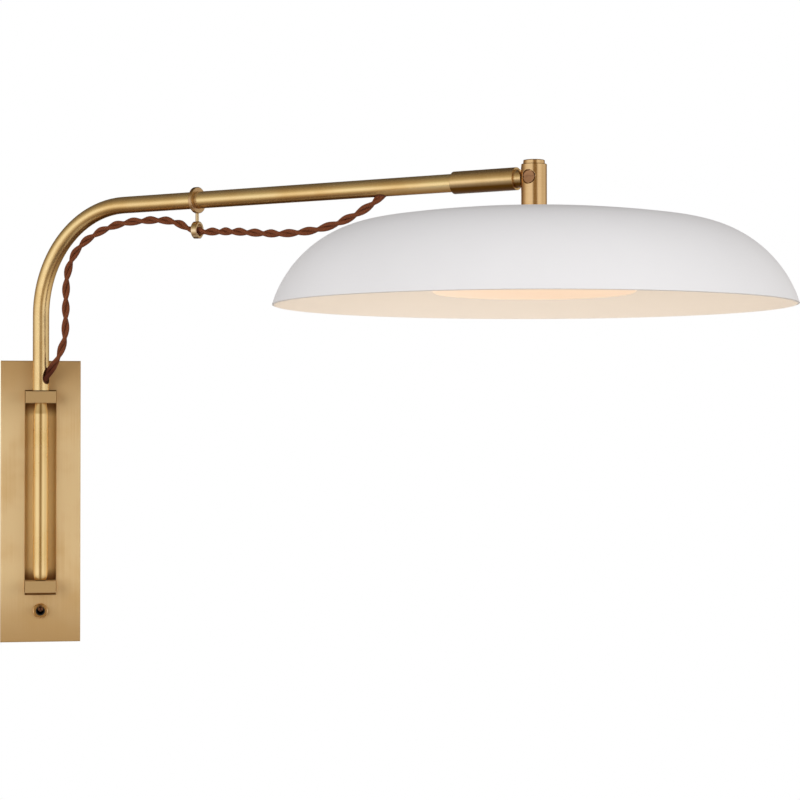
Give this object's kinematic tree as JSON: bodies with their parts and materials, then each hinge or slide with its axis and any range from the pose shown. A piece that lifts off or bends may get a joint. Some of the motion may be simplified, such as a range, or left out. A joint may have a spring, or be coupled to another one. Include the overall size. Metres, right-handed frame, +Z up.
{
  "type": "articulating wall light",
  "caption": "Wall light with a slotted brass plate, a swinging bent tube arm with an outside twisted cord, and a wide domed white shade on a rolling, tilting head.",
  "frame": {"origin": "on the wall's surface, behind the middle of the wall plate", "axes": "+Z up, +Y into the wall, -Y into the room, +X to the viewer's right"},
  "size_m": [0.5358, 0.485, 0.3488],
  "materials": {
    "aged_brass": "brushed aged brass",
    "bronze_screw": "satin bronze",
    "turned_brass": "turned brass",
    "white_enamel": "matt white enamel",
    "opal": "opal diffuser",
    "cord_cloth": "twisted cotton braid",
    "zinc_steel": "zinc plated",
    "ground_green": "green lacquer",
    "lead_black": "matt insulation",
    "lead_green": "matt insulation",
    "block_ivory": "moulded",
    "switch_black": "moulded",
    "fibre_black": "fibre",
    "sheet_aluminium": "satin",
    "driver_white": "moulded",
    "board_white": "solder mask",
    "emitter_yellow": "phosphor"
  },
  "bodies": {
    "wall_bracket": {"back_plate": "aged_brass", "yoke": "aged_brass", "yoke_nuts": "zinc_steel", "mounting_strap": "zinc_steel", "plate_screws": "aged_brass", "ground_screw": "ground_green", "upper_bush": "turned_brass", "lower_bush": "turned_brass", "terminal_block": "block_ivory", "terminal_screws": "zinc_steel", "switch_leads": "lead_black", "ground_lead": "lead_green", "switch_body": "switch_black", "switch_terminals": "turned_brass", "switch_nut": "aged_brass"},
    "switch": {"switch_lever": "aged_brass"},
    "arm": {"arm_tube": "aged_brass", "arm_stud": "turned_brass", "thrust_washer": "fibre_black", "pivot_rod": "aged_brass", "lower_pin": "turned_brass", "cord_collar": "aged_brass", "collar_set_screw": "zinc_steel", "cord_eye": "aged_brass", "lower_ferrule": "fibre_black", "upper_ferrule": "fibre_black", "cord": "cord_cloth", "end_sleeve": "aged_brass", "sleeve_set_screws": "zinc_steel"},
    "swivel": {"swivel_neck": "turned_brass"},
    "head": {"knuckle": "aged_brass", "knuckle_cap": "aged_brass", "tilt_washers": "fibre_black", "pivot_screw": "bronze_screw", "pivot_nut": "bronze_screw", "hanger_nipple": "turned_brass", "shade": "white_enamel", "shade_washer": "zinc_steel", "nipple_nuts": "zinc_steel", "light_pan": "white_enamel", "driver": "driver_white", "driver_screws": "zinc_steel", "heat_spreader": "sheet_aluminium", "led_board": "board_white", "led_chips": "emitter_yellow", "board_screws": "zinc_steel", "diffuser": "opal", "diffuser_ring": "white_enamel", "ring_screws": "zinc_steel"}
  },
  "joints": [
    {"name": "arm_swing", "type": "hinge", "parent": "wall_bracket", "child": "arm", "pos_m": [0, -0.01885, 0.227], "axis": [0, 0, 1], "range_deg": [-116, 19]},
    {"name": "head_roll", "type": "hinge", "parent": "arm", "child": "swivel", "pos_m": [0.30972, -0.29191, 0.227], "axis": [0.7501, -0.6613, 0], "range_deg": [-90, 90]},
    {"name": "shade_tilt", "type": "hinge", "parent": "swivel", "child": "head", "pos_m": [0.32705, -0.30718, 0.227], "axis": [-0.6613, -0.7501, 0], "range_deg": [0, 15]},
    {"name": "switch_toggle", "type": "hinge", "parent": "wall_bracket", "child": "switch", "pos_m": [0, -0.011, -0.0856], "axis": [1, 0, 0], "range_deg": [0, 22]}
  ]
}
